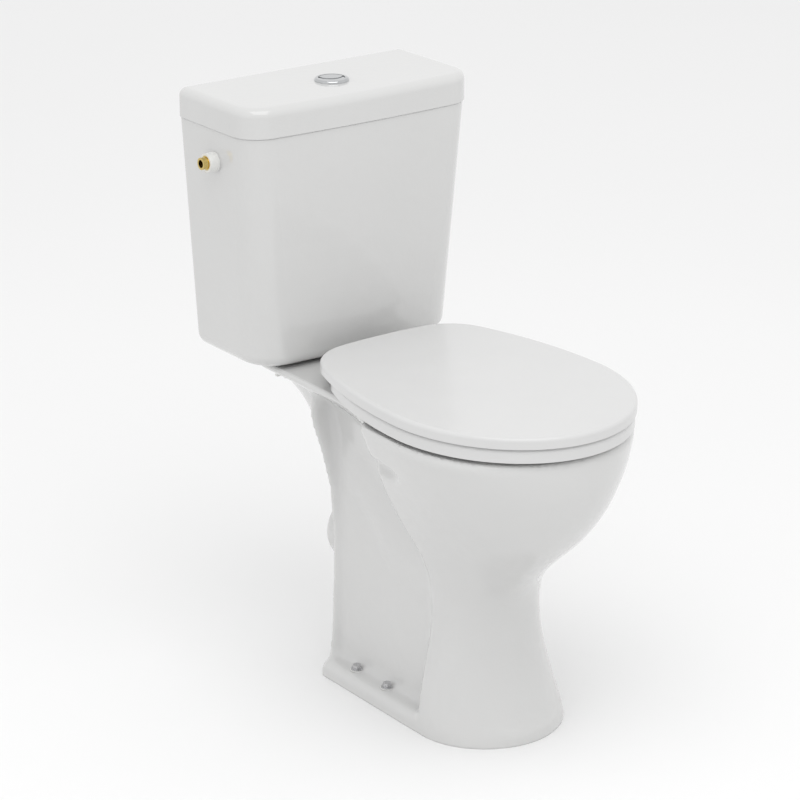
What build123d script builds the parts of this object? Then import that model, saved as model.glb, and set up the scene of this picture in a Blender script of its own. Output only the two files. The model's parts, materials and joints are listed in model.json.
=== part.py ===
"""Close coupled toilet: raised-height washdown pan, cistern with its fittings, seat and cover.

Lengths are millimetres and +Z is up. The toilet faces -Y and X = 0 is its plane of symmetry.
The model is laid out with Y = 0 on the finished wall, and each piece is then written with the
origin on the floor, on the centreline, level with the middle of the four floor fixings.
"""

from build123d import *
from collections import namedtuple
from math import cos, radians, sin
import os

# ---- overall places -------------------------------------------------------------------------
fixings_to_wall = 310.0  # centre of the floor fixings, in front of the wall
rim_height = 446.0  # top of the pan's rim and shelf
coupling_gap = 4.0  # between the shelf and the cistern's base
cistern_height = 333.0  # base of the cistern to its top edge

# ---- pan: outside -----------------------------------------------------------------------------
Level = namedtuple("Level", "height half_width centre front")
toe = Level(0.0, 110.0, -424.0, -561.0)
shin = Level(75.0, 97.0, -430.0, -527.0)
waist = Level(150.0, 84.5, -439.0, -504.0)
# The bowl's levels are depths below the rim.
hull = Level(221.0, 86.0, -443.0, -536.0)
belly = Level(146.0, 109.0, -450.0, -617.0)
shoulder = Level(71.0, 148.0, -464.0, -663.0)
rim = Level(0.0, 173.0, -475.0, -668.0)
apron_back = -385.0  # the front shell runs back to here inside the pan
slab_thickness = 16.0  # shelf and rim plate
shelf_half_width = 135.0
shelf_back = -22.0
shelf_corner = 88.0
shelf_straight_end = -285.0  # the sides swell out to the rim from here
web_half_width = 75.0
web_back = -205.0
foot_half_width = 112.0
foot_back = -212.0
foot_height = 24.0
foot_fillet = 8.0
foot_slope_height = 26.0  # the foot slopes up to the web over this height
spigot_radius = 51.0
spigot_height = 182.0
spigot_end = -144.0
duct_half_width = 44.0
duct_depth = 40.0  # below the slab

# ---- pan: inside ------------------------------------------------------------------------------
opening_half_width = 122.0
opening_half_length = 160.0
opening_centre = -465.0
lip_depth = 44.0
lip_thickness = 12.0
channel_width = 14.0
channel_roof = 14.0
flush_radius = 28.0
socket_depth = 24.0
trap_radius = 37.0
trap_wall = 14.0
dip_depth = 274.0  # rim to the middle of the trap's dip
crown_depth = 147.0  # rim to the middle of the trap's crown
foot_wall = 14.0
cross_wall = 20.0

# ---- cistern and lid ----------------------------------------------------------------------------
cistern_top_width = 376.0
cistern_base_width = 336.0
cistern_top_depth = 181.0
cistern_base_depth = 169.0
cistern_corner_top = 41.0
cistern_corner_base = 56.0
cistern_wall = 9.0
cistern_floor = 10.0
cistern_base_fillet = 18.0
rear_corner = 12.0
back_trim = 0.2  # ground off the cistern's back, so that it's flat on the wall
front_bow = 7.0
lid_overhang = 2.0
lid_height = 41.5
lid_round = 12.0
seam_round = 1.6  # softens both edges where the lid meets the cistern
lid_wall = 9.0
lid_lip_depth = 10.0
lid_lip_clearance = 1.5
lid_lip_thickness = 6.0

# ---- flush controls -----------------------------------------------------------------------------
valve_y = -99.0  # the outlet, the valve and the buttons share this axis
bezel_bore = 18.6
bezel_thread = bezel_bore + 1.9
bezel_radius = bezel_thread + 3.5
bezel_rise = 4.0
button_gap = 0.4
button_thickness = 8.0
button_sink = 1.0  # the larger button's top below the bezel's
lens_shift = (6.0, 12.0)  # centre of the smaller button's round edge
rod_radius = 2.0
rod_x = 6.0
rod_offset = 11.0
rod_start_gap = 1.3
lever_push_arm = 20.0
lever_lift_arm = 32.0
lever_pin_radius = 2.0
lever_half_height = 2.5
lever_width = 6.0
lever_boss_radius = 4.5
lever_above_tube = 20.0
outlet_radius = 31.0
thread_clearance = 1.0
valve_bore = outlet_radius - 5.0
tube_radius = 15.0
tube_wall = 2.0
overflow_below_top = 65.0  # cistern height less the overflow's height
backnut_radius = outlet_radius + 6.0
gasket_radius = backnut_radius + 10.0  # the foam ring fits round the backnut

# ---- water inlet --------------------------------------------------------------------------------
inlet_below_top = 45.0  # under the cistern's top edge
inlet_y = -88.0
inlet_radius = 8.33  # the tail's end, for the supply hose
inlet_shank_radius = 10.0  # the thicker thread that clamps the wall
inlet_flange_radius = 12.5
inlet_bore = 5.5
inlet_hole_clearance = 0.7
inlet_reach = 22.0  # brass tail beyond the boss
inlet_nut_length = 14.0
inlet_washer_thickness = 2.0
boss_radius = 14.5
boss_proud = 1.2  # keeps the nut clear of the leaning wall
column_inset = 42.0  # the float valve's column, in from the wall
column_length = 150.0
float_radius = 27.0
float_height = 59.0
float_wall = 2.0
running_gap = 0.05

# ---- seat ---------------------------------------------------------------------------------------
seat_half_width = 171.0
seat_centre = -475.0
seat_front = -675.0
seat_back_half_width = 118.0
seat_back = -209.0
seat_back_bow = 10.0
seat_corner = 78.0
ring_inset = 2.5
ring_gap = 6.0  # rim to the underside of the ring
ring_thickness = 18.0
ring_back = -233.0
ring_hole_half_width = 112.0
ring_hole_half_length = 145.0
ring_hole_centre = -465.0
cover_gap = 1.4
cover_thickness = 15.0
cover_skin = 6.0
cover_round = 5.0
hinge_y = -220.0
hinge_above_rim = 15.0
hinge_spacing = 155.0
hinge_pin_radius = 3.0
knuckle_radius = 8.0
knuckle_width = 10.0
ring_arm_overlap = 30.0  # the arms run into the ring, past its round corners
knuckle_gap = 0.5
pin_overhang = 5.0
hinge_bolt_radius = 3.0
plug_radius = 7.0
plug_depth = 36.0

# ---- fixings ------------------------------------------------------------------------------------
floor_fixing_spacing = 178.0
floor_fixing_pitch = 72.0
floor_hole_radius = 5.0
floor_screw_radius = 3.5
cistern_bolt_spacing = 164.0
cistern_bolt_radius = 4.0
cistern_bolt_hole = 6.0
washer_thickness = 2.0
rubber_thickness = 4.0

# ---- worked out ---------------------------------------------------------------------------------
cistern_base_z = rim_height + coupling_gap
cistern_floor_z = cistern_base_z + cistern_floor
cistern_top_z = cistern_base_z + cistern_height
lid_top_z = cistern_top_z + lid_height
inlet_z = cistern_top_z - inlet_below_top
slab_z = rim_height - slab_thickness
ring_z = rim_height + ring_gap
ring_top_z = ring_z + ring_thickness
cover_z = ring_top_z + cover_gap
cover_top_z = cover_z + cover_thickness
hinge_z = rim_height + hinge_above_rim
outlet_hole = outlet_radius + thread_clearance
overflow_z = cistern_floor_z + cistern_height - overflow_below_top
lever_z = overflow_z + lever_above_tube
pivot_x = rod_x - lever_push_arm
lift_x = pivot_x - lever_lift_arm

parts = {}


# ---- plain shapes -------------------------------------------------------------------------------
def block(x0, x1, y0, y1, z0, z1):
    """A box between two corners."""
    return Pos((x0 + x1) / 2, (y0 + y1) / 2, (z0 + z1) / 2) * Box(x1 - x0, y1 - y0, z1 - z0)


def post(x, y, radius, z0, z1):
    """An upright cylinder."""
    return Pos(x, y, (z0 + z1) / 2) * Cylinder(radius, z1 - z0)


def bar_x(x0, x1, y, z, radius):
    """A cylinder along X."""
    return Pos((x0 + x1) / 2, y, z) * Rot(0, 90, 0) * Cylinder(radius, x1 - x0)


def bar_y(y0, y1, x, z, radius):
    """A cylinder along Y."""
    return Pos(x, (y0 + y1) / 2, z) * Rot(90, 0, 0) * Cylinder(radius, y1 - y0)


def tube(x, y, outer, inner, z0, z1):
    """An upright ring."""
    return post(x, y, outer, z0, z1) - post(x, y, inner, z0 - 1, z1 + 1)


def hexagon(x, y, across, z0, z1):
    """An upright hexagonal prism, across its flats."""
    flat = RegularPolygon(across / 2, 6, major_radius=False)
    return Pos(x, y, z0) * extrude(flat, z1 - z0)


def wing_nut(x, y, bore, z0, height):
    """A round nut with two wings, threaded on from below."""
    body = post(x, y, bore + 4.5, z0, z0 + height)
    wings = block(x - bore - 14, x + bore + 14, y - 2.5, y + 2.5, z0, z0 + height * 0.7)
    return body + wings - post(x, y, bore, z0 - 1, z0 + height + 1)


def ellipse_face(half_width, half_length, centre, z):
    """A level ellipse."""
    return Pos(0, centre, z) * Ellipse(half_width, half_length).face()


def solids(*shapes):
    """Several like pieces in one node."""
    return Compound(children=[solid for shape in shapes for solid in shape.solids()])


def pair(make):
    """The same piece on the left and on the right."""
    return solids(make(-1), make(1))


def keep(name, shape):
    """Record a finished piece, with the origin moved from the wall to the floor fixings."""
    parts[name] = Pos(0, fixings_to_wall, 0) * shape


# ---- outlines -----------------------------------------------------------------------------------
def front_arc(half_width, centre, front):
    """The front half of an ellipse, from left to right."""
    return EllipticalCenterArc((0, centre), half_width, centre - front, 180, arc_size=180)


def seat_outline(inset, back):
    """The seat's plan: elliptical front, sides drawing in to a flat back with round corners."""
    half = seat_half_width - inset
    corner = seat_back_half_width - inset
    side_end = back - seat_back_bow
    front = front_arc(half, seat_centre, seat_front + inset)
    right = TangentArc((half, seat_centre), (corner, side_end), tangent=(0, 1))
    rear = ThreePointArc((corner, side_end), (0, back), (-corner, side_end))
    left = TangentArc((-half, seat_centre), (-corner, side_end), tangent=(0, 1))
    face = make_face([front, right, rear, left])
    rear_corners = face.vertices().group_by(Axis.Y)[-1]
    return fillet(rear_corners, seat_corner - inset)


def rim_outline():
    """The shelf and rim in plan."""
    half = shelf_half_width
    front = front_arc(rim.half_width, rim.centre, rim.front)
    sides = []
    for side in (-1, 1):
        swell = Spline(
            (side * rim.half_width, rim.centre),
            (side * half, shelf_straight_end),
            tangents=((0, 1), (0, 1)),
        )
        straight = Line((side * half, shelf_straight_end), (side * half, shelf_back))
        sides += [swell, straight]
    rear = Line((half, shelf_back), (-half, shelf_back))
    face = make_face([front, *sides, rear])
    return fillet(face.vertices().group_by(Axis.Y)[-1], shelf_corner)


def tray_outline(width, depth, corner, inset=0.0, back=0.0):
    """The cistern in plan: flat back, bowed front, rounded corners."""
    half = width / 2 - inset
    back -= inset
    side_end = -depth + front_bow + inset
    bow = ThreePointArc((-half, side_end), (0, -depth + inset), (half, side_end))
    left = Line((-half, back), (-half, side_end))
    right = Line((half, side_end), (half, back))
    rear = Line((half, back), (-half, back))
    face = make_face([left, bow, right, rear])
    face = fillet(face.vertices().group_by(Axis.Y)[0], corner - inset)
    rear_corners = face.vertices().group_by(Axis.Y)[-1]
    return fillet(rear_corners, rear_corner - inset / 2)


# ---- pan ----------------------------------------------------------------------------------------
def apron_face(level, height, inset=0.0, back=apron_back):
    """One level section of the pan's front shell."""
    half = level.half_width - inset
    front = front_arc(half, level.centre, level.front + inset)
    sides = [
        Line((half, level.centre), (half, back)),
        Line((half, back), (-half, back)),
        Line((-half, back), (-half, level.centre)),
    ]
    return Pos(0, 0, height) * make_face([front, *sides])


def pan_apron():
    """The front shell: toe, waist and bowl in one sweep, cut off behind along a curved edge."""
    low = [apron_face(level, level.height) for level in (toe, shin, waist)]
    bowl = (hull, belly, shoulder, rim)
    high = [apron_face(level, rim_height - level.height) for level in bowl]
    shell = loft(low + high)
    edge = Spline(
        (-402, foot_height),
        (waist.centre - 2, waist.height - 40),
        (hull.centre + 2, rim_height - hull.height - 10),
        (belly.centre + 45, rim_height - belly.height + 20),
        (rim.centre + 66, rim_height),
    )
    wall = Polyline(
        edge @ 1, (rim.front - 20, rim_height), (rim.front - 20, 0), (-402, 0), edge @ 0
    )
    side_view = Plane.YZ * make_face([edge, wall])
    return shell & extrude(side_view, rim.half_width + 10, both=True)


def flare_face(y, low, low_x, mid_x, high_x):
    """An upright section of the flare that carries the shelf and rim off the web."""
    high = slab_z + 6
    mid = (low + high) / 2
    right = [(low_x, low), (mid_x, mid), (high_x, high)]
    left = [(-x, z) for x, z in reversed(right)]
    plane = Plane((0, y, 0), x_dir=(1, 0, 0), z_dir=(0, -1, 0))
    return plane * make_face(Polyline(*right, *left, close=True))


def pan_flare():
    """The sloping underside between the web, the shelf and the bowl."""
    return loft(
        [
            flare_face(-165, rim_height - 94, web_half_width, 99, shelf_half_width - 9),
            flare_face(-321, rim_height - 224, web_half_width, 99, shelf_half_width - 3),
            flare_face(-420, rim_height - 246, web_half_width, 118, rim.half_width - 7),
        ],
        ruled=True,
    )


def pan_web():
    """The narrow rear wall around the trap."""
    side = Polyline(
        (web_back, 0),
        (web_back, slab_z - 100),
        (web_back + 32, slab_z + 2),
        (waist.centre, slab_z + 2),
        (waist.centre, 0),
        close=True,
    )
    return extrude(Plane.YZ * make_face(side), web_half_width, both=True)


def pan_foot():
    """The foot's flange, and the slope from it up to the web."""
    front = front_arc(toe.half_width, toe.centre, toe.front)
    sides = [
        Line((toe.half_width, toe.centre), (foot_half_width, foot_back)),
        Line((foot_half_width, foot_back), (-foot_half_width, foot_back)),
        Line((-foot_half_width, foot_back), (-toe.half_width, toe.centre)),
    ]
    flange = extrude(make_face([front, *sides]), foot_height)
    upper = flange.faces().sort_by(Axis.Z)[-1]
    flange = fillet(upper.edges(), foot_fillet)
    low = Rectangle(2 * (foot_half_width - 14), 232)
    high = Rectangle(2 * (web_half_width + 1), 220)
    centre = (foot_back + 4) - 116
    slope = loft(
        [
            Pos(0, centre, foot_height - 1) * low.face(),
            Pos(0, centre, foot_height + foot_slope_height) * high.face(),
        ]
    )
    return flange + slope


def pan_outside():
    """Every outer form of the pan, before it is hollowed."""
    slab = Pos(0, 0, slab_z) * extrude(rim_outline(), slab_thickness)
    duct = block(
        -duct_half_width, duct_half_width, web_back - 5, valve_y, slab_z - duct_depth, slab_z + 1
    )
    duct += post(0, valve_y, gasket_radius + 12, slab_z - duct_depth, slab_z + 1)
    spigot = bar_y(web_back - 20, spigot_end, 0, spigot_height, spigot_radius)
    body = pan_apron() & extrude(rim_outline(), rim_height)
    body += pan_web()
    body += pan_flare() & extrude(rim_outline(), rim_height)
    return body + slab + duct + spigot + pan_foot()


def bowl_cavity():
    """The bowl from under the lip down to the sump."""
    lip_z = rim_height - lip_depth
    return loft(
        [
            ellipse_face(rim.half_width - 27, 180, rim.centre + 1, lip_z),
            ellipse_face(shoulder.half_width - 20, 168, rim.centre + 7, lip_z - 50),
            ellipse_face(belly.half_width - 16, 136, rim.centre + 16, lip_z - 105),
            ellipse_face(hull.half_width - 22, 82, rim.centre + 34, lip_z - 175),
            ellipse_face(trap_radius + 2, 42, rim.centre + 46, rim_height - dip_depth - 22),
        ]
    )


def rim_cavities():
    """The opening between the lips, and the flush channel that runs round behind the lip."""
    lip_z = rim_height - lip_depth
    width, length = opening_half_width, opening_half_length
    opening = extrude(ellipse_face(width, length, opening_centre, lip_z - 1), lip_depth + 2)
    inner_x, inner_y = width + lip_thickness, length + lip_thickness
    outer_x, outer_y = inner_x + channel_width, inner_y + channel_width
    ring = ellipse_face(outer_x, outer_y, opening_centre, lip_z - 1)
    ring -= ellipse_face(inner_x, inner_y, opening_centre, lip_z - 1)
    channel = extrude(ring, lip_depth - channel_roof + 1)
    return opening + channel


def flush_way():
    """The socket under the cistern's outlet, and the way forward into the rim channel."""
    top = rim_height - channel_roof
    socket_z = rim_height - socket_depth
    socket = post(0, valve_y, gasket_radius + 1.5, socket_z, rim_height + 1)
    bore = post(0, valve_y, flush_radius, rim_height - lip_depth + 2, socket_z + 1)
    start = opening_centre + opening_half_length + lip_thickness + 4
    low = rim_height - lip_depth + 2
    way = block(-flush_radius, flush_radius, start, valve_y, low, top)
    return socket + bore + way


def trapway():
    """The water's way from the sump over the weir and out through the spigot."""
    dip = rim_height - dip_depth
    crown = rim_height - crown_depth
    path = FilletPolyline(
        (0, -432, dip + 10),
        (0, -350, dip),
        (0, -308, crown),
        (0, -249, crown),
        (0, -212, spigot_height),
        (0, spigot_end + 2, spigot_height),
        radius=trap_radius + 3,
    )
    start = Plane(path @ 0, z_dir=path % 0)
    return sweep(start * Circle(trap_radius), path)


def toe_room_face(level, height):
    """One level section of the hollow inside the toe."""
    half = level.half_width - foot_wall
    back = waist.centre - foot_wall
    front = front_arc(half, back, level.front + foot_wall)
    return Pos(0, 0, height) * make_face([front, Line((half, back), (-half, back))])


def underside():
    """The hollow foot, open to the floor, with one cross wall at the fixings."""
    half = web_half_width - foot_wall
    roof = rim_height - dip_depth - trap_radius - trap_wall
    middle = -fixings_to_wall
    front_room = block(-half, half, waist.centre, middle - cross_wall / 2, -1, roof)
    front_room += loft(
        [
            toe_room_face(toe, -1),
            toe_room_face(waist, roof),
        ]
    )
    rear_room = block(-half, half, middle + cross_wall / 2, foot_back - foot_wall, -1, roof)
    return front_room + rear_room


def fixing_holes():
    """Holes for the floor screws, the cistern's bolts and the seat's plugs."""
    holes = []
    for side in (-1, 1):
        for end in (-1, 1):
            y = -fixings_to_wall + end * floor_fixing_pitch / 2
            x = side * floor_fixing_spacing / 2
            holes.append(post(x, y, floor_hole_radius, -1, foot_height + 40))
            holes.append(post(x, y, 10.5, foot_height, foot_height + 40))
        x = side * cistern_bolt_spacing / 2
        holes.append(post(x, valve_y, cistern_bolt_hole, slab_z - 1, rim_height + 1))
        x = side * hinge_spacing / 2
        holes.append(post(x, hinge_y, plug_radius, rim_height - plug_depth, rim_height + 1))
    return holes


def make_pan():
    """One casting of vitreous china."""
    pan = pan_outside()
    for cut in (bowl_cavity(), rim_cavities(), flush_way(), trapway(), underside()):
        pan -= cut
    for hole in fixing_holes():
        pan -= hole
    keep("pan", pan)


# ---- cistern ------------------------------------------------------------------------------------
def side_half_width(z):
    """Half the cistern's width at a height, because its sides draw in downwards."""
    share = (z - cistern_base_z) / cistern_height
    return (cistern_base_width + share * (cistern_top_width - cistern_base_width)) / 2


def tray(inset, z0, z1, back=0.0):
    """The cistern's tapering form between two heights, drawn in by an inset."""
    faces = []
    for z in (z0, z1):
        share = (z - cistern_base_z) / cistern_height
        depth = cistern_base_depth + share * (cistern_top_depth - cistern_base_depth)
        corner = cistern_corner_base + share * (cistern_corner_top - cistern_corner_base)
        outline = tray_outline(2 * side_half_width(z), depth, corner, inset, back)
        faces.append(Pos(0, 0, z) * outline.face())
    return loft(faces)


def make_cistern():
    """The tank: one china casting with its base holes and the two inlet bosses."""
    shell = tray(0, cistern_base_z, cistern_top_z, back_trim)
    base_edges = shell.edges().group_by(Axis.Z)[0]
    front_edges = base_edges.filter_by(lambda edge: edge.center().Y < -rear_corner - 2)
    shell = fillet(front_edges, cistern_base_fillet)
    top_edges = shell.edges().group_by(Axis.Z)[-1]
    top_edges = top_edges.filter_by(lambda edge: edge.center().Y < -rear_corner - 2)
    shell = fillet(top_edges, seam_round)
    half = cistern_top_width / 2
    shell -= block(-half, half, 0, 5, cistern_base_z - 1, cistern_top_z + 1)
    shell -= tray(cistern_wall, cistern_floor_z, cistern_top_z + 1)
    boss_x = side_half_width(inlet_z) + boss_proud
    for side in (-1, 1):
        ends = sorted((side * boss_x, side * (boss_x - cistern_wall - 2.5)))
        shell += bar_x(*ends, inlet_y, inlet_z, boss_radius)
        ends = sorted((side * (boss_x + 5), side * (boss_x - 25)))
        shell -= bar_x(*ends, inlet_y, inlet_z, inlet_shank_radius + inlet_hole_clearance)
    shell -= post(0, valve_y, outlet_hole, cistern_base_z - 1, cistern_floor_z + 1)
    for side in (-1, 1):
        x = side * cistern_bolt_spacing / 2
        shell -= post(x, valve_y, cistern_bolt_hole, cistern_base_z - 1, cistern_floor_z + 1)
    keep("cistern", shell)


def lid_outline(inset=0.0):
    """The lid in plan, a little proud of the cistern on three sides."""
    width = cistern_top_width + 2 * lid_overhang
    depth = cistern_top_depth + lid_overhang
    return tray_outline(width, depth, cistern_corner_top + lid_overhang, inset)


def make_lid():
    """The lid: a shallow inverted tray with a lip that drops inside the cistern."""
    lid = Pos(0, 0, cistern_top_z) * extrude(lid_outline(), lid_height)
    top_edges = lid.faces().sort_by(Axis.Z)[-1].edges()
    lid = fillet(top_edges, lid_round)
    lid = fillet(lid.faces().sort_by(Axis.Z)[0].edges(), seam_round)
    hollow = extrude(lid_outline(lid_wall), lid_height - lid_wall + 1)
    lid -= Pos(0, 0, cistern_top_z - 1) * hollow
    reach = lid_overhang + cistern_wall + lid_lip_clearance
    lip = lid_outline(reach) - lid_outline(reach + lid_lip_thickness)
    lip_z = cistern_top_z - lid_lip_depth
    lid += Pos(0, 0, lip_z) * extrude(lip, lid_lip_depth + lid_height - lid_wall + 1)
    lid -= post(0, valve_y, bezel_thread + thread_clearance, lip_z, lid_top_z + 1)
    keep("cistern_lid", lid)


# ---- flush controls -----------------------------------------------------------------------------
def button_plan(grow):
    """The rear lens of the split button, as an area that may be grown by a gap."""
    lens_x, lens_y = lens_shift
    return Pos(lens_x, valve_y + lens_y) * Circle(bezel_bore - 1 + grow).face()


def button_blank(z0, z1):
    """A disc that fills the bezel's bore."""
    return post(0, valve_y, bezel_bore - button_gap, z0, z1)


def make_buttons():
    """The chromed bezel with its nut, and the two buttons with their push rods."""
    top = lid_top_z + bezel_rise
    bezel = post(0, valve_y, bezel_radius, lid_top_z, top)
    bezel = fillet(bezel.faces().sort_by(Axis.Z)[-1].edges(), bezel_rise - 1.0)
    shank_z = lid_top_z - lid_wall - 16
    bezel += post(0, valve_y, bezel_thread, shank_z, lid_top_z + 0.5)
    bezel -= post(0, valve_y, bezel_bore, shank_z - 1, top + 1)
    keep("button_bezel", bezel)
    nut_z = lid_top_z - lid_wall - 8
    nut = hexagon(0, valve_y, 2 * bezel_thread + 12, nut_z, nut_z + 8)
    keep("button_nut", nut - post(0, valve_y, bezel_thread, nut_z - 1, nut_z + 9))
    low = top - button_sink - button_thickness
    lens = Pos(0, 0, low) * extrude(button_plan(0.0), button_thickness + 0.8)
    lens_gap = Pos(0, 0, low - 1) * extrude(button_plan(button_gap), button_thickness + 4)
    half = button_blank(low, top - 0.2) & lens
    full = button_blank(low, top - button_sink) - lens_gap
    rod_low = lever_z + lever_half_height + rod_start_gap
    for name, blank, side in (("full", full, -1), ("half", half, 1)):
        y = valve_y + side * rod_offset
        keep(f"{name}_flush_button", blank)
        rod = post(rod_x, y, rod_radius, rod_low, low)
        keep(f"{name}_flush_rod", rod)

def make_levers():
    """Two bell levers on one bracket: each turns a button's push into the valve's lift."""
    for name, side in (("full", -1), ("half", 1)):
        y = valve_y + side * rod_offset
        bar = block(
            lift_x - 2, rod_x + 4, y - lever_width / 2, y + lever_width / 2,
            lever_z - lever_half_height, lever_z + lever_half_height,
        )
        bar += bar_y(y - lever_width / 2, y + lever_width / 2, pivot_x, lever_z, lever_boss_radius)
        hole = bar_y(y - 10, y + 10, pivot_x, lever_z, lever_pin_radius + running_gap)
        keep(f"{name}_flush_lever", bar - hole)
    span = rod_offset + lever_width / 2 + 6
    pin = bar_y(valve_y - span, valve_y + span, pivot_x, lever_z, lever_pin_radius)
    keep("lever_pin", pin)


def make_flush_valve():
    """The outlet valve: threaded body and cage, overflow tube with its seal, nuts and gaskets."""
    floor = cistern_floor_z
    flange = floor + rubber_thickness
    body = tube(0, valve_y, outlet_radius + 12, valve_bore, flange, flange + 5)
    body += tube(0, valve_y, outlet_radius, valve_bore, rim_height - socket_depth + 5, flange + 1)
    body += tube(0, valve_y, valve_bore + 5, valve_bore, flange + 4, flange + 12)
    head_z = flange + 150
    for turn in (45, 135, 225, 315):
        x = 36 * cos(radians(turn))
        y = valve_y + 36 * sin(radians(turn))
        body += post(x, y, 3.5, flange + 2, head_z + 6)
    body += tube(0, valve_y, 41, tube_radius + 1, head_z, head_z + 6)
    span = rod_offset + lever_width / 2
    for side in (-1, 1):
        y0, y1 = sorted((valve_y + side * (span + 1), valve_y + side * (span + 5)))
        arm = block(pivot_x - 6, pivot_x + 6, y0, y1, head_z, lever_z + 7)
        body += arm - bar_y(y0 - 1, y1 + 1, pivot_x, lever_z, lever_pin_radius)
    keep("flush_valve_body", body)
    washer = tube(0, valve_y, outlet_radius + 10, outlet_radius, floor, flange)
    keep("flush_valve_washer", washer)
    nut_top = cistern_base_z
    nut = tube(0, valve_y, backnut_radius, outlet_radius, nut_top - 12, nut_top)
    keep("flush_valve_backnut", nut)
    gasket = tube(
        0, valve_y, gasket_radius, backnut_radius + 0.5, rim_height - socket_depth, cistern_base_z
    )
    keep("coupling_gasket", gasket)
    seat_z = flange + 12
    lift = tube(0, valve_y, tube_radius, tube_radius - tube_wall, seat_z + 5, overflow_z)
    lift += tube(0, valve_y, valve_bore + 3, tube_radius - tube_wall, seat_z + 3, seat_z + 9)
    yoke_top = lever_z + lever_half_height + 0.8
    wall_x = lift_x - 6
    far_y = valve_y - rod_offset - lever_width
    near_y = valve_y - rod_offset + lever_width / 2
    arm_z = overflow_z - 14
    lift += block(wall_x - 3, 1 - tube_radius, valve_y - 4, valve_y + 4, arm_z, arm_z + 6)
    lift += block(wall_x - 3, wall_x, far_y, valve_y + 4, arm_z, yoke_top + 3)
    lift += block(wall_x - 3, lift_x + 4, far_y, near_y, yoke_top, yoke_top + 3)
    keep("overflow_tube", lift)
    seal = tube(0, valve_y, valve_bore + 3, tube_radius - tube_wall, seat_z, seat_z + 3)
    keep("flush_seal", seal)


# ---- water inlet --------------------------------------------------------------------------------
def inlet_bar(x0, x1, radius):
    """A round bar on the inlet's axis."""
    return bar_x(x0, x1, inlet_y, inlet_z, radius)


def make_inlet():
    """Side inlet: brass tail with its nut and washer, and the plug opposite."""
    outer = -(side_half_width(inlet_z) + boss_proud)
    inner = outer + cistern_wall + 2.5
    tip = outer - inlet_reach
    nut_end = outer - inlet_nut_length
    shank_end = inner + 30
    flange_x = inner + inlet_washer_thickness
    tail = inlet_bar(tip, nut_end + 1, inlet_radius)
    tail += inlet_bar(nut_end, shank_end, inlet_shank_radius)
    tail += inlet_bar(flange_x, flange_x + 3, inlet_flange_radius)
    keep("inlet_tail", tail - inlet_bar(tip - 1, shank_end + 1, inlet_bore))
    washer = inlet_bar(inner, flange_x, inlet_flange_radius)
    keep("inlet_washer", washer - inlet_bar(inner - 1, flange_x + 1, inlet_shank_radius))
    nut = inlet_bar(outer - 4, outer, boss_radius - 1.0)
    nut += inlet_bar(nut_end, outer - 4, inlet_shank_radius + 3)
    keep("inlet_nut", nut - inlet_bar(nut_end - 1, outer + 1, inlet_shank_radius))
    plug = inlet_bar(-outer, 4 - outer, inlet_flange_radius)
    plug = fillet(plug.edges().group_by(Axis.X)[-1], 2.0)
    plug += inlet_bar(-inner - 12, 1 - outer, inlet_shank_radius)
    keep("blanking_plug", plug)
    ring = inlet_bar(-inner - 8, -inner, inlet_flange_radius)
    ring -= inlet_bar(-inner - 9, 1 - inner, inlet_shank_radius)
    keep("blanking_plug_nut", ring)
    make_float_valve(inner, shank_end)


def make_float_valve(inner, shank_end):
    """The float valve on the tail's inner end, with its float, rod, closing arm and pin."""
    column_x = inner + column_inset
    low = inlet_z - column_length
    body = post(column_x, inlet_y, 15, inlet_z - 14, inlet_z + 12)
    body += inlet_bar(inner + 20, column_x, inlet_shank_radius + 3)
    body -= inlet_bar(inner, shank_end + 1, inlet_shank_radius)
    body += post(column_x, inlet_y, 8, low, inlet_z)
    body += post(column_x, inlet_y, 13, low - 4, low)
    ear_x = column_x + 18
    pin_x = column_x + 12
    pin_z = inlet_z + 17
    for side in (-1, 1):
        ends = sorted((inlet_y + side * 7, inlet_y + side * 11))
        body += block(column_x, ear_x, *ends, inlet_z + 4, inlet_z + 22)
    body -= bar_y(inlet_y - 12, inlet_y + 12, pin_x, pin_z, lever_pin_radius)
    keep("fill_valve_body", body)
    keep("float_lever_pin", bar_y(inlet_y - 12, inlet_y + 12, pin_x, pin_z, lever_pin_radius))
    top = low + 1 + float_height
    cup = tube(column_x, inlet_y, float_radius, 9, low + 1, top)
    cup -= tube(column_x, inlet_y, float_radius - float_wall, 11, low, top - 3)
    keep("float_cup", cup)
    rod_at = column_x + 22
    keep("float_rod", post(rod_at, inlet_y, 1.5, top, inlet_z + 20))
    lever = block(pin_x - 5, rod_at + 8, inlet_y - 6, inlet_y + 6, pin_z - 2.5, pin_z + 2.5)
    lever += bar_y(inlet_y - 6, inlet_y + 6, pin_x, pin_z, lever_boss_radius)
    lever -= bar_y(inlet_y - 7, inlet_y + 7, pin_x, pin_z, lever_pin_radius + running_gap)
    lever -= post(rod_at, inlet_y, 3.5, pin_z - 10, pin_z + 10)
    keep("float_lever", lever)


# ---- seat ---------------------------------------------------------------------------------------
def knuckle(x0, x1, arm_back, arm_front, z0, z1):
    """A barrel on the hinge axis with a short arm into the ring or the cover."""
    barrel = bar_x(x0, x1, hinge_y, hinge_z, knuckle_radius)
    arm = block(x0, x1, arm_front, arm_back, z0, z1)
    hole = bar_x(x0 - 1, x1 + 1, hinge_y, hinge_z, hinge_pin_radius + running_gap)
    return barrel + arm - hole


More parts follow.
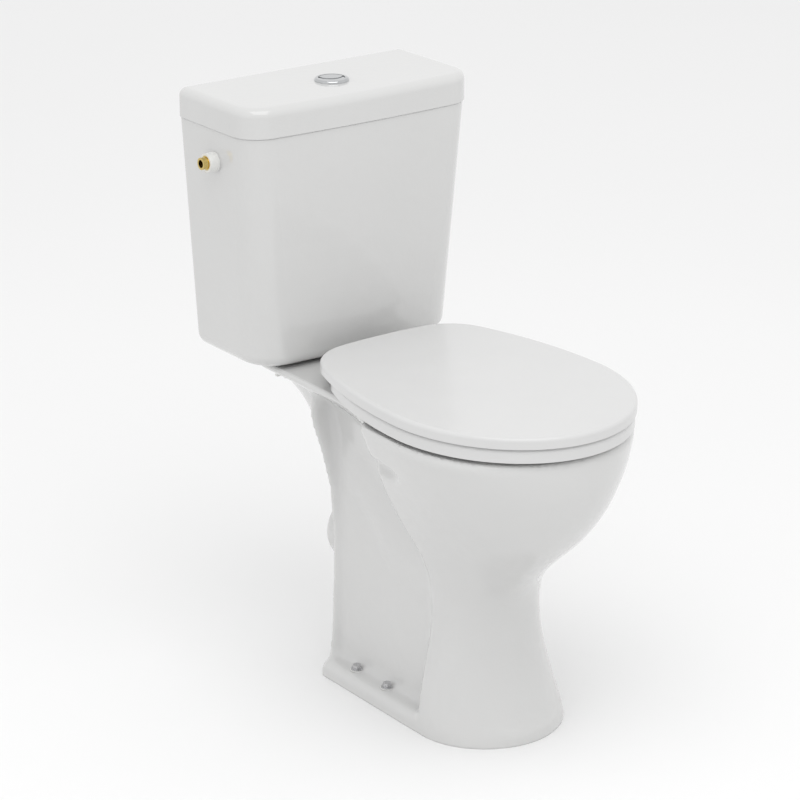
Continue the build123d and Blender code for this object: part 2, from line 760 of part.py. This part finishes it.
def make_ring():
    """The seat ring, with its two outer hinge knuckles and four buffers."""
    ring = Pos(0, 0, ring_z) * extrude(seat_outline(ring_inset, ring_back), ring_thickness)
    hole = ellipse_face(ring_hole_half_width, ring_hole_half_length, ring_hole_centre, ring_z - 1)
    ring -= extrude(hole, ring_thickness + 2)
    ring = fillet(ring.faces().sort_by(Axis.Z)[-1].edges(), 6.0)
    for side in (-1, 1):
        near = hinge_spacing / 2 + knuckle_width + knuckle_gap
        x0, x1 = sorted((side * near, side * (near + knuckle_width)))
        z1 = hinge_z + knuckle_radius
        ring += knuckle(x0, x1, hinge_y, ring_back - ring_arm_overlap, hinge_z - 5, z1 - 1)
    keep("seat_ring", ring)
    buffers = []
    for x, y in buffer_places():
        buffers.append(post(x, y, 9.0, rim_height + 0.3, ring_z))
    keep("ring_buffers", solids(*buffers))


def buffer_places():
    """Four buffers under the ring: two well forward, two near the hinges."""
    places = []
    for side in (-1, 1):
        places.append((side * 105.0, seat_centre - 110.0))
        places.append((side * 132.0, seat_centre + 120.0))
    return places


def make_cover():
    """The seat cover: a shallow dish upside down, with two inner hinge knuckles."""
    cover = Pos(0, 0, cover_z) * extrude(seat_outline(0.0, seat_back), cover_thickness)
    cover = fillet(cover.faces().sort_by(Axis.Z)[-1].edges(), cover_round)
    dish = extrude(seat_outline(cover_skin, seat_back - cover_skin), cover_thickness - cover_skin + 1)
    cover -= Pos(0, 0, cover_z - 1) * dish
    for side in (-1, 1):
        near = hinge_spacing / 2 - knuckle_width - knuckle_gap
        x0, x1 = sorted((side * near, side * (near - knuckle_width)))
        high = cover_top_z - cover_skin + 1
        cover += knuckle(x0, x1, hinge_y + 6, hinge_y - 5, hinge_z, high)
    keep("seat_cover", cover)
    buffers = []
    for side in (-1, 1):
        x, y = side * 118.0, seat_centre - 118.0
        buffers.append(post(x, y, 7.0, ring_top_z + 0.3, cover_top_z - cover_skin))
    keep("cover_buffers", solids(*buffers))


def make_hinges():
    """Two hinge posts on the shelf, their pins, and the bolts and plugs that hold them down."""
    plate = 4.0

    def hinge_post(side):
        x = side * hinge_spacing / 2
        half = knuckle_width
        base = block(x - 17, x + 17, hinge_y - 15, hinge_y + 15, rim_height, rim_height + plate)
        upright = block(
            x - half, x + half, hinge_y - knuckle_radius, hinge_y + knuckle_radius,
            rim_height, hinge_z,
        )
        barrel = bar_x(x - half, x + half, hinge_y, hinge_z, knuckle_radius)
        shape = base + upright + barrel
        shape -= bar_x(x - half - 1, x + half + 1, hinge_y, hinge_z, hinge_pin_radius)
        return shape - post(x, hinge_y, hinge_bolt_radius, rim_height - 1, hinge_z - 7)

    def pin(side):
        x = side * hinge_spacing / 2
        reach = 2 * knuckle_width + knuckle_gap + pin_overhang
        return bar_x(x - reach, x + reach, hinge_y, hinge_z, hinge_pin_radius)

    def bolt(side):
        x = side * hinge_spacing / 2
        return post(x, hinge_y, hinge_bolt_radius, rim_height - plug_depth + 3, hinge_z - 7)

    def plug(side):
        x = side * hinge_spacing / 2
        low = rim_height - plug_depth + 1
        return tube(x, hinge_y, plug_radius, hinge_bolt_radius, low, rim_height)

    keep("hinge_posts", pair(hinge_post))
    keep("hinge_pins", pair(pin))
    keep("hinge_bolts", pair(bolt))
    keep("hinge_plugs", pair(plug))

# ---- fixings ------------------------------------------------------------------------------------
def make_cistern_fixings():
    """Two bolts that clamp the cistern to the shelf, with their washers and wing nuts."""
    x_of = cistern_bolt_spacing / 2
    floor = cistern_floor_z
    steel_z = floor + rubber_thickness
    head_z = steel_z + washer_thickness
    nut_z = slab_z - rubber_thickness - washer_thickness
    radius = cistern_bolt_radius

    def bolt(side):
        shank = post(side * x_of, valve_y, radius, nut_z - 16, head_z + 1)
        return shank + hexagon(side * x_of, valve_y, 13, head_z, head_z + 6)

    def washer(outer, z0, thickness):
        return pair(lambda side: tube(side * x_of, valve_y, outer, radius, z0, z0 + thickness))

    keep("cistern_bolts", pair(bolt))
    keep("bolt_seals", washer(11.0, floor, rubber_thickness))
    keep("bolt_washers", washer(9.5, steel_z, washer_thickness))
    keep("shelf_pads", washer(12.0, slab_z - rubber_thickness, rubber_thickness))
    keep("shelf_washers", washer(11.0, nut_z, washer_thickness))
    keep("wing_nuts", pair(lambda side: wing_nut(side * x_of, valve_y, radius, nut_z - 10, 10)))


def make_floor_fixings():
    """Four screws through the foot, each in a plastic sleeve with a washer under its head."""
    places = []
    for side in (-1, 1):
        for end in (-1, 1):
            y = -fixings_to_wall + end * floor_fixing_pitch / 2
            places.append((side * floor_fixing_spacing / 2, y))
    seat = foot_height
    screws, washers, sleeves = [], [], []
    for x, y in places:
        screw = post(x, y, floor_screw_radius, 0.5, seat + 3)
        screws.append(screw + hexagon(x, y, 11, seat + 2.5, seat + 8))
        washers.append(tube(x, y, 8.5, floor_screw_radius, seat + 1, seat + 2.5))
        sleeve = tube(x, y, floor_hole_radius - 0.2, floor_screw_radius, 1, seat)
        sleeves.append(sleeve + tube(x, y, 9.5, floor_screw_radius, seat, seat + 1))
    keep("floor_screws", solids(*screws))
    keep("floor_washers", solids(*washers))
    keep("floor_sleeves", solids(*sleeves))


make_pan()
make_cistern()
make_lid()
make_buttons()
make_levers()
make_flush_valve()
make_inlet()
make_ring()
make_cover()
make_hinges()
make_cistern_fixings()
make_floor_fixings()

os.makedirs("parts", exist_ok=True)
for name, shape in parts.items():
    export_step(shape, f"parts/{name}.step")
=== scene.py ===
import json
from math import pi

import bmesh
import bpy
from mathutils import Matrix, Vector


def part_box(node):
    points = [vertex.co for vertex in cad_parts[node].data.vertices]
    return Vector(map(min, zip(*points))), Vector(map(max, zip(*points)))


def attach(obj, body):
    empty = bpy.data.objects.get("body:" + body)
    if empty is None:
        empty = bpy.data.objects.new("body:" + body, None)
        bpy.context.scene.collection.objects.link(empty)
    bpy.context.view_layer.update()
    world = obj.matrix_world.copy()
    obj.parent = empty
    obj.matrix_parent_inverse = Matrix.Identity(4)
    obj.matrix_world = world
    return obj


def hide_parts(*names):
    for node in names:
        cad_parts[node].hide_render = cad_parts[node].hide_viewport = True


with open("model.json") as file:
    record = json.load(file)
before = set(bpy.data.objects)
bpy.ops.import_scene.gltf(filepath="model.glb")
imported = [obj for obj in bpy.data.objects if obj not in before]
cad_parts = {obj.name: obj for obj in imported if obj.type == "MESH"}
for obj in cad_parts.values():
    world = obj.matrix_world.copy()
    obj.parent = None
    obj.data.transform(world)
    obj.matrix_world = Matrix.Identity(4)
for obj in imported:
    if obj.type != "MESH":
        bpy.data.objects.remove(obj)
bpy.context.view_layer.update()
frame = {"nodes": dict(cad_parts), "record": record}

# ---- View --------------------------------------------------------------------------------------
# The toilet is seen from its front left, a little from above, through a long lens that stands
# about four metres away, so that its upright edges stay nearly parallel.
view = bpy.data.cameras.new("view")
view.lens = 135.6
view.sensor_width = 36
view.shift_x = -0.0236
view.shift_y = 0.0087
view.clip_end = 30
view_stand = bpy.data.objects.new("view", view)
bpy.context.scene.collection.objects.link(view_stand)
view_stand.location = (-2.3034, -3.0981, 1.8533)
view_aim = Vector((0, 0.010, 0.406))
view_stand.rotation_euler = (view_aim - view_stand.location).to_track_quat("-Z", "Y").to_euler()
bpy.context.scene.camera = view_stand


# ---- Glazed china --------------------------------------------------------------------------------
# Pan, cistern and lid are vitreous china under a white glaze: a hard, clear, very even coat that
# pools to a faint waviness, with the clay body showing a little warmer through it.
class Amount:
    """A number that changes over a surface; sums on it add their own nodes."""

    def __init__(self, finish, socket):
        self.finish = finish
        self.socket = socket

    def sum(self, operation, first, second):
        settings = {"operation": operation}
        return self.finish.node("ShaderNodeMath", settings, {0: first, 1: second})

    def __add__(self, other):
        return self.sum("ADD", self, other)

    __radd__ = __add__

    def __mul__(self, other):
        return self.sum("MULTIPLY", self, other)

    __rmul__ = __mul__

    def __sub__(self, other):
        return self.sum("SUBTRACT", self, other)

    def __rsub__(self, other):
        return self.sum("SUBTRACT", other, self)


class Finish:
    """One material, built up node by node."""

    def __init__(self, name, **shader_values):
        self.material = bpy.data.materials.new(name)
        self.material.use_nodes = True
        self.tree = self.material.node_tree
        self.shader = self.tree.nodes["Principled BSDF"]
        self.set(**shader_values)

    def node(self, kind, settings, inputs, output=0):
        made = self.tree.nodes.new(kind)
        for name, value in settings.items():
            setattr(made, name, value)
        for name, value in inputs.items():
            self.feed(made.inputs[name], value)
        return Amount(self, made.outputs[output])

    def feed(self, socket, value):
        if isinstance(value, Amount):
            self.tree.links.new(value.socket, socket)
        else:
            socket.default_value = value

    def set(self, **values):
        for name, value in values.items():
            self.feed(self.shader.inputs[name.replace("_", " ")], value)

    def place(self):
        return self.node("ShaderNodeTexCoord", {}, {}, output="Object")

    def noise(self, scale, detail=2.0):
        inputs = {"Vector": self.place(), "Scale": scale, "Detail": detail}
        return self.node("ShaderNodeTexNoise", {}, inputs, output="Fac")

    def blend(self, share, low, high):
        mix = self.tree.nodes.new("ShaderNodeMix")
        mix.data_type = "RGBA"
        self.feed(mix.inputs["Factor"], share)
        low_colour, high_colour = [s for s in mix.inputs if s.type == "RGBA"]
        self.feed(low_colour, low)
        self.feed(high_colour, high)
        return Amount(self, [s for s in mix.outputs if s.type == "RGBA"][0])

    def relief(self, height, depth):
        inputs = {"Height": height, "Distance": depth, "Strength": 1.0}
        self.set(Normal=self.node("ShaderNodeBump", {}, inputs))


def glazed_china():
    glaze = Finish("glazed_china", IOR=1.52, Coat_Weight=0.6, Coat_Roughness=0.03)
    cloud = glaze.noise(9.0, detail=3.0)
    speck = glaze.noise(900.0, detail=1.0)
    tint = glaze.blend(cloud, (0.60, 0.60, 0.595, 1), (0.625, 0.625, 0.62, 1))
    pin = glaze.node(
        "ShaderNodeMapRange",
        {},
        {"Value": speck, "From Min": 0.74, "From Max": 0.80, "To Min": 0.0, "To Max": 0.35},
    )
    glaze.set(Base_Color=glaze.blend(pin, tint, (0.54, 0.53, 0.51, 1)))
    glaze.set(Roughness=0.10 + cloud * 0.06)
    wave = glaze.noise(38.0, detail=1.0)
    orange_peel = glaze.noise(260.0, detail=1.0)
    glaze.relief(wave + orange_peel * 0.12, 0.0006)
    return glaze.material


china = glazed_china()


def dress(node, material):
    """Give a carried-over piece its finish."""
    piece = frame["nodes"][node]
    piece.data.materials.clear()
    piece.data.materials.append(material)
    return piece


# ---- Pan ---------------------------------------------------------------------------------------
# The pan is one slip-cast piece: a front shell that runs from toe to rim, a narrow web behind it
# around the trap, a shelf for the cistern, a flared underside and a foot with its flange. The
# forms are joined soft, as clay is, then hollowed, and the edges are rounded by the glaze.
rim_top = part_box("pan")[1].z
wall_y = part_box("cistern")[1].y
ring_points = 96
front_levels = [
    # height, half width, then centre, front and rear edge, all three measured from the wall
    (0.000, 0.110, -0.424, -0.561, -0.442),
    (0.017, 0.1095, -0.424, -0.5525, -0.442),
    (0.050, 0.103, -0.427, -0.538, -0.436),
    (0.100, 0.0925, -0.434, -0.516, -0.436),
    (0.150, 0.085, -0.439, -0.505, -0.441),
    (0.200, 0.083, -0.442, -0.518, -0.440),
    (0.235, 0.087, -0.443, -0.546, -0.433),
    (0.265, 0.095, -0.445, -0.578, -0.411),
    (0.305, 0.111, -0.450, -0.621, -0.391),
    (0.345, 0.132, -0.458, -0.650, -0.391),
    (0.385, 0.153, -0.466, -0.664, -0.400),
    (0.415, 0.166, -0.471, -0.668, -0.398),
    (0.446, 0.173, -0.475, -0.668, -0.385),
]


def smooth_step(levels, height):
    """The values at a height, on a smooth curve through the levels."""
    spans = list(zip(levels, levels[1:]))
    count = sum(1 for low, high in spans[:-1] if high[0] < height)
    low, high = spans[count]
    before = levels[max(count - 1, 0)]
    after = levels[min(count + 2, len(levels) - 1)]
    span = high[0] - low[0]
    t = (height - low[0]) / span
    values = []
    for a, p, q, b in zip(before[1:], low[1:], high[1:], after[1:]):
        rise = (q - a) / (high[0] - before[0]) * span
        fall = (b - p) / (after[0] - low[0]) * span
        values.append(
            p * (1 + 2 * t) * (1 - t) ** 2
            + rise * t * (1 - t) ** 2
            + q * t * t * (3 - 2 * t)
            - fall * t * t * (1 - t)
        )
    return values


def ring(bm, shape, height, points=ring_points):
    """A level loop of edges whose points a shape places from their angle."""
    made = bmesh.ops.create_circle(bm, segments=points, radius=1.0)["verts"]
    for vert in made:
        x, y = shape(vert.co.x, vert.co.y)
        vert.co = Vector((x, y + wall_y, height))
    return list({edge for vert in made for edge in vert.link_edges})


def stack(bm, loops):
    """Skin a pile of loops and close it at both ends."""
    for low, high in zip(loops, loops[1:]):
        bmesh.ops.bridge_loops(bm, edges=low + high)
    bmesh.ops.contextual_create(bm, geom=loops[0])
    bmesh.ops.contextual_create(bm, geom=loops[-1])


def boxy(value, power):
    """A sine or cosine made squarer."""
    return (1 if value >= 0 else -1) * abs(value) ** power


def front_shape(values):
    half, centre, front, edge = values
    middle = min(centre, edge - 0.012)

    def shape(x, y):
        if y <= 0:
            return half * x, middle + (middle - front) * y
        back = edge + 0.004 - middle
        return half * boxy(x, 0.12), middle + back * boxy(y, 0.25)

    return shape


def new_piece(name, bm):
    mesh = bpy.data.meshes.new(name)
    bmesh.ops.recalc_face_normals(bm, faces=bm.faces)
    bm.to_mesh(mesh)
    bm.free()
    piece = bpy.data.objects.new(name, mesh)
    bpy.context.scene.collection.objects.link(piece)
    return piece


def front_shell(bm):
    heights = [rim_top * step / 40 for step in range(41)]
    loops = [ring(bm, front_shape(smooth_step(front_levels, z)), z) for z in heights]
    loops.insert(0, ring(bm, front_shape(smooth_step(front_levels, 0.0)), -0.012))
    stack(bm, loops)


def rounded_block(bm, low, high, edge):
    """A block with every edge rounded."""
    made = bmesh.ops.create_cube(bm, size=1.0)["verts"]
    for vert in made:
        vert.co = Vector(
            (high[i] if vert.co[i] > 0 else low[i]) for i in range(3)
        )
    edges = list({e for vert in made for e in vert.link_edges})
    bmesh.ops.bevel(
        bm,
        geom=edges,
        offset=edge,
        offset_type="OFFSET",
        affect="EDGES",
        segments=4,
        profile=0.5,
        material=-1,
    )


shelf_half = 0.135
shelf_under = rim_top - 0.016
shelf_rear = -0.022
shelf_corner = 0.088
shelf_straight_end = -0.285


def shelf_shape(grow=0.0, slant=0.0):
    """The shelf and rim in plan: the rim's front, sides that draw in, a rounded rear."""
    half, centre, front, _ = front_levels[-1][1:]

    def shape(x, y):
        if y <= 0:
            return (half + grow) * x, centre + (centre - front + grow) * y
        across = boxy(x, 0.55)
        along = centre + (shelf_rear - centre + grow) * y
        draw = min(max((along - centre) / (shelf_straight_end - centre), 0), 1)
        swell = half + (shelf_half - half) * draw * draw * (3 - 2 * draw)
        corner = max(0.0, (along - shelf_rear + shelf_corner) / shelf_corner)
        round_off = shelf_corner * (1 - (max(0.0, 1 - corner * corner)) ** 0.5)
        width = max(swell + grow - slant * draw - round_off, 0.0)
        return (width * (1 if x > 0 else -1) if abs(x) > 1e-6 else 0.0), along

    return shape


def shelf(bm):
    edge = 0.0035
    loops = [
        ring(bm, shelf_shape(-edge, 0.012), shelf_under, 160),
        ring(bm, shelf_shape(0, 0.010), shelf_under + edge, 160),
        ring(bm, shelf_shape(0), rim_top - edge, 160),
        ring(bm, shelf_shape(-edge), rim_top, 160),
    ]
    stack(bm, loops)


def wedge(bm, stations):
    """Upright sections along the pan, each a mirrored line of points, skinned end to end."""
    loops = []
    for y, line in stations:
        points = [(x, z) for x, z in line] + [(-x, z) for x, z in reversed(line)]
        verts = [bm.verts.new((x, y + wall_y, z)) for x, z in points]
        loops.append([bm.edges.new(pair) for pair in zip(verts, verts[1:] + verts[:1])])
    stack(bm, loops)


def web_and_flare(bm):
    """The web's walls, and the underside that spreads from them to the shelf's edge."""
    top = shelf_under + 0.004

    def lip(inset):
        line = [(0.094, 0.004), (0.087, 0.090), (0.084, 0.200), (0.090, 0.280)]
        line += [(0.105, 0.339), (0.121, 0.387), (0.119, top)]
        return [(x - inset, z) for x, z in line]

    def section(fold, reach):
        width = 0.0755
        rise = top - fold
        spread = reach - width
        return [
            (width + 0.002, 0.004),
            (width + 0.002, 0.090),
            (width, fold - 0.020),
            (width + 0.003, fold + 0.012),
            (width + spread * 0.09, fold + rise * 0.46),
            (width + spread * 0.28, fold + rise * 0.80),
            (reach, top),
        ]

    wedge(
        bm,
        [
            (-0.2055, lip(0.004)),
            (-0.2080, lip(0.0)),
            (-0.2145, lip(0.0)),
            (-0.2195, section(0.309, 0.121)),
            (-0.241, section(0.300, 0.121)),
            (-0.277, section(0.279, 0.124)),
            (-0.307, section(0.252, 0.128)),
            (-0.321, section(0.222, 0.128)),
            (-0.345, section(0.205, 0.128)),
            (-0.400, section(0.190, 0.130)),
            (-0.440, section(0.186, 0.130)),
        ],
    )


def shelf_bracket(bm):
    """The thick part behind the web that carries the shelf and the flush duct."""
    top = shelf_under + 0.004
    wedge(
        bm,
        [
            (-0.095, [(0.052, top - 0.030), (0.096, top - 0.004), (0.099, top)]),
            (-0.150, [(0.060, top - 0.070), (0.094, top - 0.030), (0.106, top)]),
            (-0.2150, [(0.072, top - 0.130), (0.086, top - 0.085), (0.112, top)]),
        ],
    )


def foot(bm):
    """The flange on the floor, drawn up into the web by a hollow curve."""

    def plan(inset, rear=0.0):
        def shape(x, y):
            if y <= 0:
                return (0.110 - inset) * x, -0.424 + (0.137 - inset) * y
            width = 0.110 + 0.003 * y - inset
            return width * boxy(x, 0.05), -0.424 + (0.212 - rear) * boxy(y, 0.05)

        return shape

    profile = [(-0.012, 0.0), (0.000, 0.0), (0.017, 0.0), (0.0210, 0.002), (0.0235, 0.006)]
    profile += [(0.0240, 0.014), (0.0240, 0.0315), (0.031, 0.0345), (0.042, 0.036), (0.065, 0.037)]
    loops = [ring(bm, plan(inset, min(inset, 0.004)), z, 160) for z, inset in profile]
    stack(bm, loops)


def pipe(bm, radius, length, y, z, turn):
    """A closed cylinder, upright until it is turned about its middle."""
    made = bmesh.ops.create_cone(
        bm, cap_ends=True, segments=72, radius1=radius, radius2=radius, depth=length
    )["verts"]
    place = Matrix.Translation((0, y, z)) @ Matrix.Rotation(turn, 4, "X")
    bmesh.ops.transform(bm, matrix=place, verts=made)


outlet_height = 0.182


def spigot(bm):
    """The waste outlet, a short pipe that stands out of the web's back."""
    pipe(bm, 0.0525, 0.092, wall_y - 0.144 - 0.045, outlet_height, pi / 2)


def bowl(bm, wall=0.0):
    """The bowl's inner form; with a wall's thickness added, the china round it."""
    levels = [
        # height, half width, half length, centre
        (rim_top - 0.296, 0.038, 0.040, -0.430),
        (rim_top - 0.280, 0.047, 0.052, -0.436),
        (rim_top - 0.219, 0.066, 0.084, -0.445),
        (rim_top - 0.160, 0.088, 0.124, -0.457),
        (rim_top - 0.100, 0.122, 0.158, -0.466),
        (rim_top - 0.060, 0.136, 0.174, -0.470),
        (rim_top - 0.036, 0.139, 0.177, -0.471),
        (rim_top - 0.018, 0.138, 0.176, -0.471),
    ]

    def oval(width, length, centre):
        return lambda x, y: ((width + wall) * x, centre + (length + wall) * y)

    stack(bm, [ring(bm, oval(*sizes), z) for z, *sizes in levels])


def bowl_wall(bm):
    wall_thickness = 0.009
    bowl(bm, wall_thickness)


def bowl_hollow():
    bm = bmesh.new()
    bowl(bm)
    return new_piece("bowl_hollow", bm)


def outer_forms():
    bm = bmesh.new()
    forms = (front_shell, bowl_wall, shelf, web_and_flare, shelf_bracket, foot, spigot)
    for form in forms:
        form(bm)
    rounded_block(
        bm,
        (-0.059, wall_y - 0.230, shelf_under - 0.040),
        (0.059, wall_y - 0.036, shelf_under + 0.004),
        0.008,
    )
    return new_piece("pan_outside", bm)


def mouth(grow):
    """The rim's opening in plan, or a line a set way outside it."""
    half_width = 0.122
    half_length = 0.160
    centre = -0.465
    return lambda x, y: ((half_width + grow) * x, centre + (half_length + grow) * y)


def lip_forms():
    """The rim's inner wall, which hangs down inside the bowl."""
    bm = bmesh.new()
    low = rim_top - 0.046
    high = rim_top - 0.004
    thickness = 0.012
    corners = [(low, 0.0), (low, thickness), (high, thickness), (high, 0.0)]
    loops = [ring(bm, mouth(grow), z) for z, grow in corners]
    for first, second in zip(loops, loops[1:] + loops[:1]):
        bmesh.ops.bridge_loops(bm, edges=first + second)
    return new_piece("lip_forms", bm)


def opening_hollow():
    bm = bmesh.new()
    levels = [(rim_top - 0.060, 0.0), (rim_top - 0.005, 0.0), (rim_top + 0.004, 0.005)]
    stack(bm, [ring(bm, mouth(grow), z) for z, grow in levels])
    return new_piece("opening_hollow", bm)


def scoop_hollows():
    """The finger scoop under each side of the rim, near the front shell's rear edge."""
    bm = bmesh.new()
    for side in (-1, 1):
        made = bmesh.ops.create_uvsphere(bm, u_segments=32, v_segments=20, radius=1.0)["verts"]
        for vert in made:
            vert.co = Vector(
                (
                    side * 0.163 + vert.co.x * 0.0195,
                    wall_y - 0.418 + vert.co.y * 0.052,
                    0.3885 + vert.co.z * 0.0155,
                )
            )
    return new_piece("scoop_hollows", bm)


def under_hollows():
    """The open foot, the waste outlet's bore, and the flush socket with the hole in its floor."""
    bm = bmesh.new()
    half = 0.061
    cross = 0.010
    roof = 0.121
    rounded_block(bm, (-half, cross, -0.05), (half, 0.084, roof), 0.006)

    def toe_room(front):
        centre = -0.430
        rear = -cross - wall_y

        def shape(x, y):
            if y <= 0:
                return half * x, centre + (centre - front) * y
            return half * boxy(x, 0.08), centre + (rear - centre) * boxy(y, 0.08)

        return shape

    stack(bm, [ring(bm, toe_room(-0.543), -0.03), ring(bm, toe_room(-0.500), roof)])
    pipe(bm, 0.037, 0.100, wall_y - 0.190, outlet_height, pi / 2)
    pipe(bm, 0.0485, 0.036, wall_y - 0.092, rim_top - 0.012 + 0.006, 0.0)
    pipe(bm, 0.028, 0.030, wall_y - 0.092, rim_top - 0.030, 0.0)
    return new_piece("under_hollows", bm)


def apply_modifiers(piece):
    """Settle a piece's modifiers into its mesh."""
    shape = piece.evaluated_get(bpy.context.evaluated_depsgraph_get())
    mesh = bpy.data.meshes.new_from_object(shape)
    piece.modifiers.clear()
    piece.data = mesh


def fuse(piece, grain):
    """Join overlapping forms to one closed skin of even small faces."""
    remesh = piece.modifiers.new("fuse", "REMESH")
    remesh.mode = "VOXEL"
    remesh.voxel_size = grain
    remesh.adaptivity = 0.0
    apply_modifiers(piece)


def combine(piece, other, operation):
    cut = piece.modifiers.new("combine", "BOOLEAN")
    cut.operation = operation
    cut.object = other
    cut.solver = "EXACT"
    apply_modifiers(piece)
    bpy.data.objects.remove(other)


def soften(piece, rounds):
    """Round every edge a little, as glaze does."""
    bm = bmesh.new()
    bm.from_mesh(piece.data)
    for _ in range(rounds):
        bmesh.ops.smooth_vert(
            bm, verts=bm.verts, factor=0.5, use_axis_x=True, use_axis_y=True, use_axis_z=True
        )
    bm.to_mesh(piece.data)
    bm.free()


def level_pan(piece):
    """Grind the foot flat on the floor and the shelf flat under the cistern."""
    bm = bmesh.new()
    bm.from_mesh(piece.data)
    for vert in bm.verts:
        if vert.co.z > rim_top - 0.0022:
            vert.co.z = rim_top
    cut = bmesh.ops.bisect_plane(
        bm,
        geom=bm.verts[:] + bm.edges[:] + bm.faces[:],
        dist=1e-6,
        plane_co=(0, 0, 0),
        plane_no=(0, 0, -1),
        clear_outer=True,
    )["geom_cut"]
    rims = [item for item in cut if isinstance(item, bmesh.types.BMEdge)]
    bmesh.ops.triangle_fill(bm, edges=rims, use_beauty=True, normal=(0, 0, -1))
    for vert in bm.verts:
        vert.co.z = max(vert.co.z, 0.0)
    bm.to_mesh(piece.data)
    bm.free()


pan_grain = 0.0042
pan = outer_forms()
pan.name = "china_pan"
fuse(pan, pan_grain)
soften(pan, 6)
combine(pan, scoop_hollows(), "DIFFERENCE")
combine(pan, bowl_hollow(), "DIFFERENCE")
combine(pan, opening_hollow(), "DIFFERENCE")
combine(pan, lip_forms(), "UNION")
combine(pan, under_hollows(), "DIFFERENCE")
fuse(pan, pan_grain)
soften(pan, 3)
level_pan(pan)
for face in pan.data.polygons:
    face.use_smooth = True
pan.data.materials.append(china)
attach(pan, "root")
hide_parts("pan")

# ---- Cistern and lid ---------------------------------------------------------------------------
# Two more castings in the same glaze: a tapered tank with a bowed front, and a lid that stands a
# little proud of it on three sides and drops over it with a hidden lip.
for name in ("cistern", "cistern_lid"):
    dress(name, china)

# ---- Seat --------------------------------------------------------------------------------------
# Ring and cover are moulded from white thermoset plastic, a touch less glossy than the glaze.
def seat_plastic():
    plastic = Finish("seat_plastic", IOR=1.5, Coat_Weight=0.15, Coat_Roughness=0.12)
    cloud = plastic.noise(14.0, detail=2.0)
    plastic.set(Base_Color=plastic.blend(cloud, (0.63, 0.63, 0.628, 1), (0.65, 0.65, 0.648, 1)))
    plastic.set(Roughness=0.20 + cloud * 0.08)
    plastic.relief(plastic.noise(420.0, detail=2.0), 0.0001)
    return plastic.material


seat_white = seat_plastic()
for name in ("seat_ring", "seat_cover"):
    dress(name, seat_white)


# ---- Small plastic and rubber pieces ---------------------------------------------------------------
# Nuts, hinge posts, valve parts and buffers are small mouldings, seen at their edges or only with
# the seat up or the lid off.
def moulded(name, colour, roughness, grain=500.0):
    finish = Finish(name, IOR=1.48)
    cloud = finish.noise(60.0, detail=2.0)
    darker = tuple(0.9 * part for part in colour) + (1,)
    finish.set(Base_Color=finish.blend(cloud, darker, tuple(colour) + (1,)))
    finish.set(Roughness=roughness - 0.04 + cloud * 0.08)
    finish.relief(finish.noise(grain, detail=2.0), 0.0001)
    return finish.material


white_plastic = moulded("white_nylon", (0.80, 0.80, 0.78), 0.35)
valve_plastic = moulded("valve_plastic", (0.55, 0.57, 0.60), 0.42)
lever_plastic = moulded("lever_plastic", (0.10, 0.22, 0.42), 0.40)
rubber = moulded("black_rubber", (0.030, 0.030, 0.032), 0.75, grain=900.0)
buffer_rubber = moulded("pale_rubber", (0.55, 0.55, 0.53), 0.62)
foam = moulded("foam_rubber", (0.045, 0.045, 0.05), 0.90, grain=1400.0)


# ---- Metal pieces --------------------------------------------------------------------------------
# The button set is chrome on moulded plastic, the inlet's tail is turned brass, and the screws,
# pins and washers are plain steel.
def metal(name, colour, roughness, brushed):
    finish = Finish(name, Metallic=1.0)
    cloud = finish.noise(70.0, detail=3.0)
    scratch = finish.noise(brushed, detail=4.0)
    worn = tuple(0.82 * part for part in colour) + (1,)
    finish.set(Base_Color=finish.blend(cloud, worn, tuple(colour) + (1,)))
    finish.set(Roughness=roughness * 0.7 + scratch * roughness * 0.6)
    finish.relief(scratch, 0.00004)
    return finish.material


chrome = metal("chrome", (0.58, 0.59, 0.60), 0.09, 300.0)
brass = metal("turned_brass", (0.72, 0.55, 0.20), 0.24, 500.0)
steel = metal("steel", (0.62, 0.62, 0.63), 0.28, 700.0)

slot_finish = {
    "china": china,
    "seat_plastic": seat_white,
    "white_plastic": white_plastic,
    "valve_plastic": valve_plastic,
    "lever_plastic": lever_plastic,
    "chrome": chrome,
    "brass": brass,
    "steel": steel,
    "rubber": rubber,
    "buffer_rubber": buffer_rubber,
    "foam": foam,
}
for part in frame["record"]["subparts"]:
    if part["node"] != "pan":
        dress(part["node"], slot_finish[part["material_slot"]])

# ---- Room ----------------------------------------------------------------------------------------
# A plain pale floor that runs off out of sight, a broad soft light overhead and to the left, and
# an even pale sky that fills the shadows.
floor_bm = bmesh.new()
bmesh.ops.create_grid(floor_bm, x_segments=8, y_segments=8, size=14.0)
floor = new_piece("studio_floor", floor_bm)
floor_finish = Finish("studio_floor", Roughness=0.9)
floor_cloud = floor_finish.noise(0.8, detail=2.0)
floor_finish.set(
    Base_Color=floor_finish.blend(floor_cloud, (0.87, 0.87, 0.87, 1), (0.89, 0.89, 0.89, 1))
)
floor.data.materials.append(floor_finish.material)

sky = bpy.data.worlds.new("sky")
sky.use_nodes = True
sky.node_tree.nodes["Background"].inputs["Color"].default_value = (1, 1, 1, 1)
sky.node_tree.nodes["Background"].inputs["Strength"].default_value = 0.95
bpy.context.scene.world = sky


def soft_light(name, place, aim, size, power):
    lamp = bpy.data.lights.new(name, "AREA")
    lamp.shape = "SQUARE"
    lamp.size = size
    lamp.energy = power
    stand = bpy.data.objects.new(name, lamp)
    stand.location = place
    stand.rotation_euler = (Vector(aim) - Vector(place)).to_track_quat("-Z", "Y").to_euler()
    bpy.context.scene.collection.objects.link(stand)


soft_light("overhead", (-0.6, -1.2, 3.2), (0, 0, 0.4), 2.6, 30)
soft_light("left_fill", (-3.0, -0.6, 1.6), (0, 0, 0.45), 2.2, 2)
bpy.context.scene.view_settings.view_transform = "Standard"
